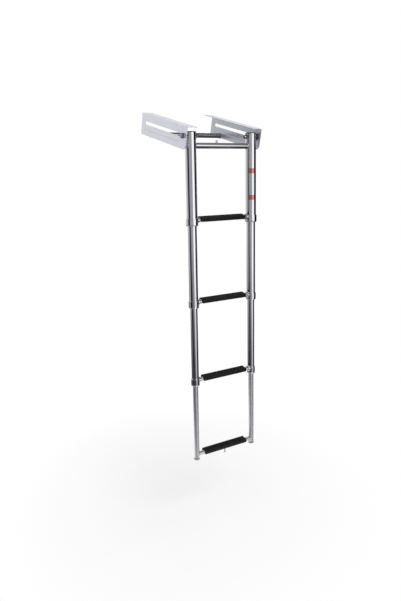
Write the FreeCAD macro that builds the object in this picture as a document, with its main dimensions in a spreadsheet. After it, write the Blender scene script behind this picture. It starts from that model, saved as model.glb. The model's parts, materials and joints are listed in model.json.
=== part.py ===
import FreeCAD, Part
import os

# Telescopic boat ladder on a pair of slide tracks, hung under a swim platform.
# Millimetres. X runs to the right along the rungs, Y back along the tracks, Z up.
# The origin is in the plane that the flanges are screwed to, midway between the two tracks
# and midway along them. A station is a distance down the ladder from its pivot bolts.

doc = FreeCAD.newDocument("boat_ladder")
sheet = doc.addObject("Spreadsheet::Sheet", "dims")

DRIVING = [
    # slide tracks: a pair of folded angles, mirrored
    ("track_length", 318.0),
    ("track_height", 76.0),
    ("flange_width", 38.0),
    ("track_sheet", 2.0),
    ("fold_radius", 3.0),
    ("nose_radius", 20.0),
    ("heel_radius", 6.0),
    ("slot_height", 11.0),
    ("screw_radius", 3.3),
    ("screw_from_end", 34.0),
    ("screw_from_edge", 17.0),
    # pivot and slide
    ("pivot_from_nose", 22.0),
    ("pivot_drop", 32.0),
    ("slide_travel", 265.0),
    ("pivot_bolt_radius", 4.0),
    ("pivot_head_flats", 15.0),
    ("pivot_head_height", 7.0),
    ("head_chamfer", 1.0),
    ("washer_radius", 9.5),
    ("washer_sheet", 1.6),
    ("bush_radius", 11.0),
    ("nut_flats", 13.0),
    ("nut_height", 6.5),
    ("nut_dome_radius", 5.8),
    # ladder
    ("tilt", 13.0),
    ("upright_to_track", 7.4),
    ("top_reach", 14.0),
    ("first_rung", 281.0),
    ("rung_pitch", 288.0),
    ("foot_reach", 20.0),
    ("tube_wall", 1.3),
    ("radius_1", 19.05),
    ("radius_2", 15.875),
    ("radius_3", 12.7),
    ("radius_4", 9.525),
    ("overlap", 39.0),
    ("cap_thickness", 3.0),
    ("cap_plug", 5.0),
    # collars, rungs and treads
    ("collar_wall", 2.4),
    ("collar_below", 19.0),
    ("collar_above", 8.0),
    ("collar_ledge", 5.0),
    ("collar_lip_radius", 2.0),
    ("boss_radius", 11.0),
    ("boss_reach", 3.0),
    ("rung_radius", 8.0),
    ("rung_wall", 1.5),
    ("tread_length", 188.0),
    ("tread_to_boss", 7.55),
    ("tread_depth", 28.0),
    ("tread_setback", 1.2),
    ("tread_top", 10.2),
    ("tread_skirt", 13.2),
    ("tread_edge_radius", 1.5),
    ("cross_tube_station", 31.5),
    ("cross_tube_radius", 10.0),
    ("foot_radius", 10.6),
    ("foot_height", 6.0),
    ("foot_edge_radius", 1.5),
    ("stud_shank_radius", 2.6),
    ("stud_shank_length", 4.5),
    ("stud_ball_radius", 4.2),
    ("top_stud_offset", 20.0),
    ("bottom_stud_length", 16.5),
    # crossbar at the back of the tracks
    ("crossbar_from_pivot", 228.0),
    ("crossbar_drop", 35.0),
    ("crossbar_radius", 9.0),
    # fits
    ("slide_play", 0.3),
    ("pin_play", 0.05),
]

for row, (alias, value) in enumerate(DRIVING, start=1):
    sheet.set("A%d" % row, alias)
    sheet.set("B%d" % row, repr(value))
    sheet.setAlias("B%d" % row, alias)

# Sizes that follow from the driving ones.
DERIVED = [
    ("upright_spacing", "=tread_length + 2 * (tread_to_boss + boss_reach + collar_radius_1)"),
    ("upright_x", "=upright_spacing / 2"),
    ("track_inner_x", "=upright_x + radius_1 + upright_to_track"),
    ("track_outer_x", "=track_inner_x + track_sheet"),
    ("track_nose_y", "=-track_length / 2"),
    ("pivot_y", "=track_nose_y + pivot_from_nose"),
    ("pivot_z", "=-pivot_drop"),
    ("screw_x", "=track_outer_x - flange_width + screw_from_edge"),
    ("screw_row_spacing", "=track_length - 2 * screw_from_end"),
    ("neck_radius", "=slot_height / 2 - slide_play"),
    ("collar_radius_1", "=radius_1 + collar_wall"),
    ("collar_radius_2", "=radius_2 + collar_wall"),
    ("collar_radius_3", "=radius_3 + collar_wall"),
    ("tube_end", "=collar_below - collar_ledge"),
]
for row, (alias, formula) in enumerate(DERIVED, start=len(DRIVING) + 2):
    sheet.set("A%d" % row, alias)
    sheet.set("B%d" % row, formula)
    sheet.setAlias("B%d" % row, alias)
doc.recompute()

parts = []
SIDES = {"left": -1, "right": 1}
ALONG_X = FreeCAD.Rotation(FreeCAD.Vector(0, 1, 0), 90)
UPRIGHT = FreeCAD.Rotation()


def full(expression):
    """An expression with its plain words turned into references to the sheet."""
    words = [alias for alias, _ in DRIVING + DERIVED]
    out = []
    word = ""
    for letter in expression + " ":
        if letter.isalnum() or letter == "_":
            word += letter
            continue
        if word:
            out.append("dims." + word if word in words else word)
        word = ""
        out.append(letter)
    return "".join(out).strip()


def bind(thing, **expressions):
    """Ties properties to expressions; a double underscore stands for a dot."""
    for name, expression in expressions.items():
        thing.setExpression(name.replace("__", "."), full(str(expression)))


def new_body(label, x, y, z):
    """A sub-part whose own origin is bound to a place in the part's frame."""
    body = doc.addObject("PartDesign::Body", label)
    body.Label = label
    bind(body, Placement__Base__x=x, Placement__Base__y=y, Placement__Base__z=z)
    parts.append(body)
    return body


def ladder_body(label, x, station, level=False):
    """A sub-part at a station of the ladder, with its Z axis up along the uprights.

    A level one, such as a tread, keeps its Z axis upright in the hanging ladder."""
    body = new_body(label, x,
                    "pivot_y - (%s) * sin(tilt)" % station,
                    "pivot_z - (%s) * cos(tilt)" % station)
    if not level:
        lean = FreeCAD.Rotation(FreeCAD.Vector(-1, 0, 0), size("tilt"))
        body.Placement = FreeCAD.Placement(FreeCAD.Vector(), lean)
        bind(body, Placement__Rotation__Angle="tilt")
    return body


def primitive(body, kind, turn, place, **sizes):
    """A PartDesign primitive at a bound place in its body."""
    thing = body.newObject("PartDesign::" + kind, kind)
    thing.Placement = FreeCAD.Placement(FreeCAD.Vector(), turn)
    bind(thing, **sizes)
    bind(thing, Placement__Base__x=place[0], Placement__Base__y=place[1], Placement__Base__z=place[2])
    body.Tip = thing
    doc.recompute()
    return thing


def add_rod(body, radius, length, start=("0", "0", "0"), turn=UPRIGHT):
    return primitive(body, "AdditiveCylinder", turn, start, Radius=radius, Height=length)


def cut_rod(body, radius, length, start=("0", "0", "0"), turn=UPRIGHT):
    return primitive(body, "SubtractiveCylinder", turn, start, Radius=radius, Height=length)


def add_ball(body, radius, centre):
    return primitive(body, "AdditiveSphere", UPRIGHT, centre, Radius=radius)


def add_block(body, start, length, width, height):
    return primitive(body, "AdditiveBox", UPRIGHT, start, Length=length, Width=width, Height=height)


def cut_block(body, start, length, width, height):
    return primitive(body, "SubtractiveBox", UPRIGHT, start, Length=length, Width=width, Height=height)


def dress_edges(body, kind, chosen, **sizes):
    """Adds a fillet or a chamfer to the edges of the body that the test picks by their place."""
    base = body.Tip
    names = ["Edge%d" % (number + 1) for number, edge in enumerate(base.Shape.Edges) if chosen(edge)]
    if not names:
        raise RuntimeError("no edge to dress on " + body.Label)
    dressing = body.newObject("PartDesign::" + kind, kind)
    dressing.Base = (base, names)
    bind(dressing, **sizes)
    body.Tip = dressing
    doc.recompute()


def round_edges(body, radius, chosen):
    dress_edges(body, "Fillet", chosen, Radius=radius)


def bevel_edges(body, width, chosen):
    dress_edges(body, "Chamfer", chosen, Size=width)


def size(alias):
    return float(sheet.get(alias))


def near(first, second):
    return abs(first - second) < 1e-4


def make_track(side):
    """One angle: an upright web with the long slot, and a flange turned inward with its screw holes."""
    way = SIDES[side]
    inner = "%d * track_inner_x" % way
    body = new_body(side + "_track", "0", "track_nose_y", "0")
    web_start = inner if way > 0 else "-track_outer_x"
    add_block(body, (web_start, "0", "-track_height"), "track_sheet", "track_length", "track_height")
    flange_start = "track_outer_x - flange_width" if way > 0 else "-track_outer_x"
    add_block(body, (flange_start, "0", "-track_sheet"), "flange_width", "track_length", "track_sheet")
    outer = way * size("track_outer_x")
    round_edges(body, "fold_radius",
                lambda edge: near(edge.CenterOfMass.x, outer) and near(edge.CenterOfMass.z, 0))
    lowest = -size("track_height")
    for corner_radius, end in (("nose_radius", 0), ("heel_radius", size("track_length"))):
        round_edges(body, corner_radius,
                    lambda edge: near(edge.Length, size("track_sheet"))
                    and near(edge.CenterOfMass.z, lowest) and near(edge.CenterOfMass.y, end))
    across = "-track_outer_x - track_sheet" if way < 0 else "track_inner_x - track_sheet"
    for slot_end in ("pivot_from_nose", "pivot_from_nose + slide_travel"):
        cut_rod(body, "slot_height / 2", "track_sheet * 3", (across, slot_end, "-pivot_drop"), ALONG_X)
    cut_block(body, (across, "pivot_from_nose", "-pivot_drop - slot_height / 2"),
              "track_sheet * 3", "slide_travel", "slot_height")
    for row in (-1, 0, 1):
        cut_rod(body, "screw_radius", "track_sheet * 3",
                ("%d * screw_x" % way, "track_length / 2 + %d * screw_row_spacing / 2" % row,
                 "-track_sheet * 2"))


def make_crossbar():
    """The bar between the webs that the stowed ladder lies over, welded to both."""
    body = new_body("rear_crossbar", "0", "pivot_y + crossbar_from_pivot", "pivot_z - crossbar_drop")
    add_rod(body, "crossbar_radius", "2 * track_inner_x", ("-track_inner_x", "0", "0"), ALONG_X)


def hex_prism(body, flats, height, start):
    """A hexagonal prism along X."""
    prism = body.newObject("PartDesign::AdditivePrism", "AdditivePrism")
    prism.Polygon = 6
    prism.Placement = FreeCAD.Placement(FreeCAD.Vector(), ALONG_X)
    bind(prism, Circumradius="%s / 2 / cos(30)" % flats, Height=height, Placement__Base__x=start)
    body.Tip = prism
    doc.recompute()


def make_washer(side):
    """The washer that runs along the outer face of the web under the bolt's head."""
    way = SIDES[side]
    body = new_body(side + "_pivot_washer", "%d * (track_outer_x + slide_play)" % way, "pivot_y", "pivot_z")
    start = "0" if way > 0 else "-washer_sheet"
    add_rod(body, "washer_radius", "washer_sheet", (start, "0", "0"), ALONG_X)
    cut_rod(body, "pivot_bolt_radius + pin_play", "washer_sheet + 2", (start + " - 1", "0", "0"), ALONG_X)


def make_pivot_bolt(side):
    """A hexagon-headed bolt through the washer, the slot, the bush and the upright."""
    way = SIDES[side]
    seat = "track_outer_x + slide_play + washer_sheet"
    body = new_body(side + "_pivot_bolt", "%d * (%s)" % (way, seat), "pivot_y", "pivot_z")
    grip = "%s - upright_x + radius_1 + slide_play + nut_height" % seat
    head = "0" if way > 0 else "-pivot_head_height"
    hex_prism(body, "pivot_head_flats", "pivot_head_height", head)
    end = way * size("pivot_head_height")
    bevel_edges(body, "head_chamfer", lambda edge: near(edge.CenterOfMass.x, end))
    shank = "-(%s)" % grip if way > 0 else "0"
    add_rod(body, "pivot_bolt_radius", grip, (shank, "0", "0"), ALONG_X)


def make_pivot_bush(side):
    """A flanged bush: its neck slides in the slot and its flange keeps the upright off the web."""
    way = SIDES[side]
    body = new_body(side + "_pivot_bush", "%d * track_inner_x" % way, "pivot_y", "pivot_z")
    flange = "upright_to_track - 2 * slide_play"
    flange_start = "-upright_to_track + slide_play" if way > 0 else "slide_play"
    neck_start = "-slide_play" if way > 0 else "-track_sheet"
    add_rod(body, "bush_radius", flange, (flange_start, "0", "0"), ALONG_X)
    add_rod(body, "neck_radius", "track_sheet + slide_play", (neck_start, "0", "0"), ALONG_X)
    through = "-upright_to_track - 1" if way > 0 else "-track_sheet - 1"
    cut_rod(body, "pivot_bolt_radius + pin_play", "track_sheet + upright_to_track + 2",
            (through, "0", "0"), ALONG_X)


def make_pivot_nut(side):
    """A domed nut on the inner side of the upright."""
    way = SIDES[side]
    body = new_body(side + "_pivot_nut", "%d * (upright_x - radius_1 - slide_play)" % way,
                    "pivot_y", "pivot_z")
    start = "-nut_height" if way > 0 else "0"
    hex_prism(body, "nut_flats", "nut_height", start)
    add_ball(body, "nut_dome_radius", ("%d * nut_height" % -way, "0", "0"))
    cut_rod(body, "pivot_bolt_radius + pin_play", "nut_height + 1",
            ("-nut_height" if way > 0 else "-1", "0", "0"), ALONG_X)


def tube(body, radius, wall, bottom, length):
    add_rod(body, radius, length, ("0", "0", bottom))
    cut_rod(body, "%s - %s" % (radius, wall), "%s + 2" % length, ("0", "0", "%s - 1" % bottom))


def rung_station(number):
    return "first_rung + %d * rung_pitch" % (number - 1)


def make_upright(side, number):
    """A tube of one section: the first from above the pivot, the others from inside the tube above."""
    way = SIDES[side]
    station = rung_station(number)
    body = ladder_body("%s_upright_%d" % (side, number), "%d * upright_x" % way, station)
    bottom = "-tube_end" if number < 4 else "-(foot_reach - foot_height)"
    below = "tube_end" if number < 4 else "(foot_reach - foot_height)"
    if number == 1:
        length = "(first_rung + top_reach - cap_thickness + %s)" % below
    else:
        length = "(rung_pitch - tube_end + slide_play + overlap + %s)" % below
    tube(body, "radius_%d" % number, "tube_wall", bottom, length)
    if number == 1:
        cut_rod(body, "pivot_bolt_radius + pin_play", "4 * radius_1",
                ("-2 * radius_1", "0", "first_rung"), ALONG_X)


def make_cap(side):
    """The dark plug that closes the top of the outer tube."""
    way = SIDES[side]
    body = ladder_body(side + "_top_cap", "%d * upright_x" % way, "-top_reach")
    add_rod(body, "radius_1", "cap_thickness", ("0", "0", "-cap_thickness"))
    add_rod(body, "radius_1 - tube_wall - pin_play", "cap_plug", ("0", "0", "-cap_thickness - cap_plug"))
    round_edges(body, "cap_thickness / 2", lambda edge: near(
        edge.CenterOfMass.distanceToPoint(FreeCAD.Vector()), 0))


def make_collar(side, number):
    """The collar on the lower end of a tube: a socket above, a guide bore below, and a boss for the rung."""
    way = SIDES[side]
    outer = "collar_radius_%d" % number
    body = ladder_body("%s_collar_%d" % (side, number), "%d * upright_x" % way, rung_station(number))
    add_rod(body, outer, "collar_below + collar_above", ("0", "0", "-collar_below"))
    lowest = -size("collar_below")
    round_edges(body, "collar_lip_radius", lambda edge: near(edge.CenterOfMass.z, lowest))
    boss_start = "-(%s) - boss_reach" % outer if way > 0 else "0"
    add_rod(body, "boss_radius", "%s + boss_reach" % outer, (boss_start, "0", "0"), ALONG_X)
    cut_rod(body, "radius_%d + pin_play" % number, "tube_end + 2 * boss_radius",
            ("0", "0", "-tube_end"))
    cut_rod(body, "radius_%d + slide_play" % (number + 1), "collar_below + 2",
            ("0", "0", "-collar_below - 1"))


def make_guides(number):
    """The pair of plastic rings on the tops of the inner tubes, which hang on the collars' ledges."""
    station = "%s + tube_end - slide_play" % rung_station(number - 1)
    rings = []
    for side, way in SIDES.items():
        body = ladder_body("%s_guide_%d" % (side, number), "%d * upright_x" % way, station)
        parts.remove(body)
        add_rod(body, "radius_%d - tube_wall - slide_play" % (number - 1), "overlap")
        cut_rod(body, "radius_%d + pin_play" % number, "overlap + 2", ("0", "0", "-1"))
        rings.append(body)
    pair = doc.addObject("Part::Compound", "guide_rings_%d" % number)
    pair.Label = "guide_rings_%d" % number
    pair.Links = rings
    parts.append(pair)


def make_rung(number):
    """A tube from boss to boss, or for the last rung from upright to upright."""
    body = ladder_body("rung_%d" % number, "0", rung_station(number))
    if number < 4:
        half = "(upright_x - collar_radius_%d - boss_reach)" % number
    else:
        half = "upright_x"
    add_rod(body, "rung_radius", "2 * %s" % half, ("-%s" % half, "0", "0"), ALONG_X)
    cut_rod(body, "rung_radius - rung_wall", "2 * %s + 2" % half, ("-%s - 1" % half, "0", "0"), ALONG_X)
    if number == 4:
        for way in SIDES.values():
            cut_rod(body, "radius_4 + pin_play", "4 * rung_radius",
                    ("%d * upright_x" % way, "0", "-2 * rung_radius"))


def make_cross_tube():
    """The tube between the outer uprights just below their pivots, coped to them."""
    body = ladder_body("top_cross_tube", "0", "cross_tube_station")
    add_rod(body, "cross_tube_radius", "2 * upright_x", ("-upright_x", "0", "0"), ALONG_X)
    cut_rod(body, "cross_tube_radius - rung_wall", "2 * upright_x + 2", ("-upright_x - 1", "0", "0"), ALONG_X)
    for way in SIDES.values():
        cut_rod(body, "radius_1 + pin_play", "4 * cross_tube_radius",
                ("%d * upright_x" % way, "0", "-2 * cross_tube_radius"))


def make_tread(number):
    """A level rubber pad with a flat top and two skirts, hollowed to sit on the round rung."""
    body = ladder_body("tread_%d" % number, "0", rung_station(number), level=True)
    add_block(body, ("-tread_length / 2", "tread_setback - tread_depth / 2", "tread_top - tread_skirt"),
              "tread_length", "tread_depth", "tread_skirt")
    top = size("tread_top")
    round_edges(body, "tread_edge_radius",
                lambda edge: near(edge.CenterOfMass.z, top) and near(edge.CenterOfMass.x, 0))
    cut_rod(body, "rung_radius + pin_play", "tread_length + 2", ("-tread_length / 2 - 1", "0", "0"), ALONG_X)


def make_foot(side):
    """The plug on the lower end of the last tube."""
    way = SIDES[side]
    body = ladder_body(side + "_foot", "%d * upright_x" % way, rung_station(4) + " + foot_reach")
    add_rod(body, "foot_radius", "foot_height")
    add_rod(body, "radius_4 - tube_wall - pin_play", "foot_height + cap_plug")
    round_edges(body, "foot_edge_radius", lambda edge: near(edge.CenterOfMass.z, 0))


def make_stud(label, x, station, seat_radius, shank, up):
    """A ball-ended stud welded to a tube, for a retaining strap. It points along the uprights."""
    body = ladder_body(label, x, station)
    reach = "%d * (%s + %s)" % (up, seat_radius, shank)
    start = seat_radius + " - pin_play" if up > 0 else "-(%s) - %s" % (seat_radius, shank)
    add_rod(body, "stud_shank_radius", shank + " + pin_play", ("0", "0", start))
    add_ball(body, "stud_ball_radius", ("0", "0", reach))
    cut_rod(body, seat_radius + " + pin_play", "8 * stud_ball_radius",
            ("-4 * stud_ball_radius", "0", "0"), ALONG_X)


for side in SIDES:
    make_track(side)
make_crossbar()
for side in SIDES:
    make_washer(side)
    make_pivot_bolt(side)
    make_pivot_bush(side)
    make_pivot_nut(side)
    make_cap(side)
make_cross_tube()
make_stud("top_stud", "-top_stud_offset", "cross_tube_station", "cross_tube_radius",
          "stud_shank_length", 1)
for number in (1, 2, 3, 4):
    for side in SIDES:
        make_upright(side, number)
        if number < 4:
            make_collar(side, number)
    if number > 1:
        make_guides(number)
    make_rung(number)
    make_tread(number)
for side in SIDES:
    make_foot(side)
make_stud("bottom_stud", "0", rung_station(4), "rung_radius", "bottom_stud_length", -1)
doc.recompute()

bad = [thing.Name for thing in doc.Objects if "Invalid" in thing.State or "Error" in thing.State]
if bad:
    raise RuntimeError("failed objects: " + ", ".join(bad))
for thing in parts:
    shape = thing.Shape
    if shape.isNull() or not shape.isValid() or not shape.Solids:
        raise RuntimeError("bad shape: " + thing.Label)

os.makedirs("parts", exist_ok=True)
for thing in parts:
    thing.Shape.exportStep("parts/%s.step" % thing.Label)
    box = thing.Shape.BoundBox
    print("%-20s solids %d volume %9.0f  x %7.1f %7.1f  y %7.1f %7.1f  z %7.1f %7.1f" % (
        thing.Label, len(thing.Shape.Solids), thing.Shape.Volume,
        box.XMin, box.XMax, box.YMin, box.YMax, box.ZMin, box.ZMax))
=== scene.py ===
# %% [markdown]
# The telescopic boat ladder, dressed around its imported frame
#
# The real ladder hangs from two slotted tracks that are screwed under a swim platform. Four pairs of polished
# stainless tubes run inside each other, each pair carries a rung, and each rung wears a ribbed rubber tread.
# The frame already has every piece at its real size, so this notebook only gives the pieces their finish:
# rounded edges, turned lips, welds, ribs and materials. Everything is in metres, in the frame's own axes:
# X to the right along the rungs, Y back along the tracks and Z up.

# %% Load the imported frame
import json
import math
import bmesh
import bpy
from mathutils import Matrix, Vector


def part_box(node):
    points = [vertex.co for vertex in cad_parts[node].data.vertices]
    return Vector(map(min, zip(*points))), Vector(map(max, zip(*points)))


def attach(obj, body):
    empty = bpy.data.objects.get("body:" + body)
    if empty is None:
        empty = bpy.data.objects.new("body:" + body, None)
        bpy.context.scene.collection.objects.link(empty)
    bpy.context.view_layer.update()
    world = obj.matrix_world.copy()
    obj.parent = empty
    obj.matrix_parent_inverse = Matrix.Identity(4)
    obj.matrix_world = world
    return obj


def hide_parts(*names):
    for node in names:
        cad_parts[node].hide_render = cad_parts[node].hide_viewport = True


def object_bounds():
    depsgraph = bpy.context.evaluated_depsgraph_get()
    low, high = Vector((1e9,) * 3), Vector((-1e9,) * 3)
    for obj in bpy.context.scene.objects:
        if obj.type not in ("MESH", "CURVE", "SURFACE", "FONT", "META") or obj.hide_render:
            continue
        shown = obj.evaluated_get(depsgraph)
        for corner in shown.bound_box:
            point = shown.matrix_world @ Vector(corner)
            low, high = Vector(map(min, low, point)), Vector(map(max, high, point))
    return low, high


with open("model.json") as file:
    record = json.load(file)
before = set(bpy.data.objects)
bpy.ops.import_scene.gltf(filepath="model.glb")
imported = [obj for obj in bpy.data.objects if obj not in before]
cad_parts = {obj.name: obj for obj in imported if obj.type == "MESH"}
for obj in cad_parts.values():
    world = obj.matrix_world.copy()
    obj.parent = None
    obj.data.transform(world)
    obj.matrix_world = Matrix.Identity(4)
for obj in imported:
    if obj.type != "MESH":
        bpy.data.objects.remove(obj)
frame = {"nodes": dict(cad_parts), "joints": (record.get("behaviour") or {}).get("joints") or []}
cad_low, cad_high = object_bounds()
print("frame box from", [round(v, 4) for v in cad_low], "to", [round(v, 4) for v in cad_high])

# %% [markdown]
# The camera comes first, because every later choice is judged through it.
#
# The photograph looks down at the ladder from the front left, a little tilted, with a longish lens. Its place
# was found by matching the uprights, treads and tracks of the frame to the picture. Three plain turns are
# easier to read than a rotation matrix full of numbers: a turn to the side, a look down and a roll.

# %% Camera at the photograph's angle
CAMERA_PLACE = Vector((-1.2441, -1.9129, 0.2571))
CAMERA_YAW = math.radians(-34.81)
CAMERA_PITCH = math.radians(22.69)
CAMERA_ROLL = math.radians(6.48)
PICTURE_HEIGHT_PIXELS = 601
FOCAL_LENGTH_PIXELS = 613.6
SENSOR_MILLIMETRES = 36.0

scene = bpy.context.scene
lens = bpy.data.cameras.new("camera")
lens.sensor_width = SENSOR_MILLIMETRES
lens.lens = SENSOR_MILLIMETRES * FOCAL_LENGTH_PIXELS / PICTURE_HEIGHT_PIXELS
camera = bpy.data.objects.new("camera", lens)
scene.collection.objects.link(camera)
camera.matrix_world = (
    Matrix.Translation(CAMERA_PLACE)
    @ Matrix.Rotation(CAMERA_YAW, 4, "Z")
    @ Matrix.Rotation(math.pi / 2 - CAMERA_PITCH, 4, "X")
    @ Matrix.Rotation(CAMERA_ROLL, 4, "Z")
)
scene.camera = camera
print("lens", round(lens.lens, 2), "mm")

# %% [markdown]
# The ladder's own axes
#
# The uprights lean back by the angle of the frame's slide joints. Every tube, collar and rung is easiest to
# build standing straight up at the pivot bolts, and then leaned into place with one matrix. So the pivot and
# the lean are read from the joints here, and a station is a distance down the uprights from the pivot bolts.

# %% Read the pivot and the lean from the joints
joints = {joint["name"]: joint for joint in frame["joints"]}
PIVOT = Vector(joints["swing"]["pos_m"])
UP_THE_UPRIGHTS = Vector(joints["slide_2"]["axis"]).normalized()
LEAN = math.atan2(UP_THE_UPRIGHTS.y, UP_THE_UPRIGHTS.z)
LADDER = Matrix.Translation(PIVOT) @ Matrix.Rotation(-LEAN, 4, "X")
ALONG_X = Matrix.Rotation(math.pi / 2, 4, "Y")
SIDES = {"left": -1, "right": 1}
SECTIONS = (1, 2, 3, 4)


def box_size(node):
    low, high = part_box(node)
    return high - low


def box_middle(node):
    low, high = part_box(node)
    return (low + high) / 2


def station_of(node):
    """How far down the uprights the middle of a node lies."""
    return -(LADDER.inverted() @ box_middle(node)).z


UPRIGHT_X = box_middle("right_upright_1").x
TUBE_RADIUS = {number: box_size("right_upright_%d" % number).x / 2 for number in SECTIONS}
RUNG_STATION = {number: station_of("rung_%d" % number) for number in SECTIONS}
print("lean", round(math.degrees(LEAN), 2), "degrees, uprights at", round(UPRIGHT_X, 4))
print("tube radii", [round(r * 1000, 2) for r in TUBE_RADIUS.values()], "mm")
print("rungs at stations", [round(s, 4) for s in RUNG_STATION.values()])

# %% [markdown]
# Effects that several finishes share
#
# Polished steel is never a perfect mirror. A polishing belt leaves fine lines round a tube, and handling leaves
# faint clouds where the shine is a little softer. Rubber and moulded plastic have a fine grain instead. Each of
# the two effects is a shader node group, built once and given its own numbers by every material that uses it.
# The patterns read Object coordinates, which are true metres here, so a line spacing is a real size. Tubes lean
# back, so the polishing lines are turned by the same angle with a Mapping node.

# %% Node helpers
def add_node(tree, kind, settings=(), **inputs):
    """Adds a node, sets its own settings and fills or links its inputs by name."""
    node = tree.nodes.new(kind)
    for name, value in dict(settings).items():
        setattr(node, name, value)
    for name, value in inputs.items():
        socket = node.inputs[int(name[1:])] if name[0] == "_" else node.inputs[name.replace("_", " ")]
        if isinstance(value, bpy.types.NodeSocket):
            tree.links.new(value, socket)
        else:
            socket.default_value = value
    return node


def new_group(name, kind, inputs, outputs):
    """A node group with named sockets; returns the tree and its input and output nodes."""
    tree = bpy.data.node_groups.new(name, kind)
    for direction, sockets in (("INPUT", inputs), ("OUTPUT", outputs)):
        for label, socket_kind in sockets:
            tree.interface.new_socket(name=label, in_out=direction, socket_type="NodeSocket" + socket_kind)
    return tree, tree.nodes.new("NodeGroupInput"), tree.nodes.new("NodeGroupOutput")


print("node helpers ready")

# %% Polishing lines and soft clouds
SHADER_TREE = "ShaderNodeTree"
polish, given, made = new_group(
    "polish_marks", SHADER_TREE,
    [("Turn", "Vector"), ("Stretch", "Vector"), ("Roughness", "Float"), ("Cloud Swing", "Float"),
     ("Line Depth", "Float"), ("Colour", "Color"), ("Dull Colour", "Color")],
    [("Colour", "Color"), ("Roughness", "Float"), ("Normal", "Vector")])
place = add_node(polish, "ShaderNodeTexCoord").outputs["Object"]
turned = add_node(polish, "ShaderNodeMapping", Vector=place, Rotation=given.outputs["Turn"])
stretched = add_node(polish, "ShaderNodeMapping", Vector=turned.outputs["Vector"], Scale=given.outputs["Stretch"])
lines = add_node(polish, "ShaderNodeTexNoise", Vector=stretched.outputs["Vector"], Scale=1.0, Detail=4.0)
clouds = add_node(polish, "ShaderNodeTexNoise", Vector=turned.outputs["Vector"], Scale=28.0, Detail=3.0)
swing = add_node(polish, "ShaderNodeMath", [("operation", "MULTIPLY_ADD")],
                 _0=clouds.outputs["Fac"], _1=given.outputs["Cloud Swing"], _2=given.outputs["Roughness"])
line_swing = add_node(polish, "ShaderNodeMath", [("operation", "MULTIPLY_ADD")],
                      _0=lines.outputs["Fac"], _1=0.03, _2=swing.outputs["Value"])
tone = add_node(polish, "ShaderNodeMix", [("data_type", "RGBA")], _0=clouds.outputs["Fac"],
                _6=given.outputs["Colour"], _7=given.outputs["Dull Colour"])
bump = add_node(polish, "ShaderNodeBump", Height=lines.outputs["Fac"], Strength=0.2,
                Distance=given.outputs["Line Depth"])
polish.links.new(tone.outputs[2], made.inputs["Colour"])
polish.links.new(line_swing.outputs["Value"], made.inputs["Roughness"])
polish.links.new(bump.outputs["Normal"], made.inputs["Normal"])
print("group", polish.name, "with", len(polish.nodes), "nodes")

# %% Grain of rubber and moulded plastic
grain, given, made = new_group(
    "moulded_grain", SHADER_TREE,
    [("Grain Size", "Float"), ("Grain Depth", "Float"), ("Roughness", "Float"), ("Colour", "Color"),
     ("Dusty Colour", "Color")],
    [("Colour", "Color"), ("Roughness", "Float"), ("Normal", "Vector")])
place = add_node(grain, "ShaderNodeTexCoord").outputs["Object"]
per_metre = add_node(grain, "ShaderNodeMath", [("operation", "DIVIDE")], _0=1.0, _1=given.outputs["Grain Size"])
cells = add_node(grain, "ShaderNodeTexNoise", Vector=place, Scale=per_metre.outputs["Value"], Detail=2.0)
dust = add_node(grain, "ShaderNodeTexNoise", Vector=place, Scale=45.0, Detail=5.0)
dust_mask = add_node(grain, "ShaderNodeMapRange", Value=dust.outputs["Fac"], From_Min=0.45, From_Max=0.75)
shade = add_node(grain, "ShaderNodeMix", [("data_type", "RGBA")], _0=dust_mask.outputs["Result"],
                 _6=given.outputs["Colour"], _7=given.outputs["Dusty Colour"])
rough = add_node(grain, "ShaderNodeMath", [("operation", "MULTIPLY_ADD")],
                 _0=dust.outputs["Fac"], _1=0.15, _2=given.outputs["Roughness"])
bump = add_node(grain, "ShaderNodeBump", Height=cells.outputs["Fac"], Strength=0.35,
                Distance=given.outputs["Grain Depth"])
grain.links.new(shade.outputs[2], made.inputs["Colour"])
grain.links.new(rough.outputs["Value"], made.inputs["Roughness"])
grain.links.new(bump.outputs["Normal"], made.inputs["Normal"])
print("group", grain.name, "with", len(grain.nodes), "nodes")

# %% [markdown]
# The finishes
#
# The photograph shows five: mirror-polished tube, a flatter grey on the thinnest tubes, pale sheet steel with a
# touch of lavender on the tracks, black rubber on the treads, and dark plastic in the tube ends. Each one is a
# Principled shader fed by one of the two groups. A number that is the same all over is set on the shader itself.

# %% Materials
ALONG_TUBE = (35.0, 35.0, 1400.0)
ALONG_RUNG = (1400.0, 35.0, 35.0)
ALONG_TRACK = (500.0, 14.0, 500.0)


def finish(name, group, metallic=0.0, **values):
    """A material whose colour, roughness and normal come from a shared group."""
    material = bpy.data.materials.new(name)
    material.use_nodes = True
    tree = material.node_tree
    shader = tree.nodes["Principled BSDF"]
    shader.inputs["Metallic"].default_value = metallic
    effect = add_node(tree, "ShaderNodeGroup", [("node_tree", group)], **values)
    tree.links.new(effect.outputs["Colour"], shader.inputs["Base Color"])
    tree.links.new(effect.outputs["Roughness"], shader.inputs["Roughness"])
    tree.links.new(effect.outputs["Normal"], shader.inputs["Normal"])
    return material


def steel(name, stretch, colour, dull, roughness, cloud=0.03, depth=0.000004, lean=LEAN):
    return finish(name, polish, 1.0, Turn=(lean, 0.0, 0.0), Stretch=stretch, Roughness=roughness,
                  Cloud_Swing=cloud, Line_Depth=depth, Colour=(*colour, 1.0), Dull_Colour=(*dull, 1.0))


def moulded(name, colour, dusty, roughness, size, depth, shine=0.5):
    material = finish(name, grain, 0.0, Grain_Size=size, Grain_Depth=depth, Roughness=roughness,
                      Colour=(*colour, 1.0), Dusty_Colour=(*dusty, 1.0))
    material.node_tree.nodes["Principled BSDF"].inputs["Specular IOR Level"].default_value = shine
    return material


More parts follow.
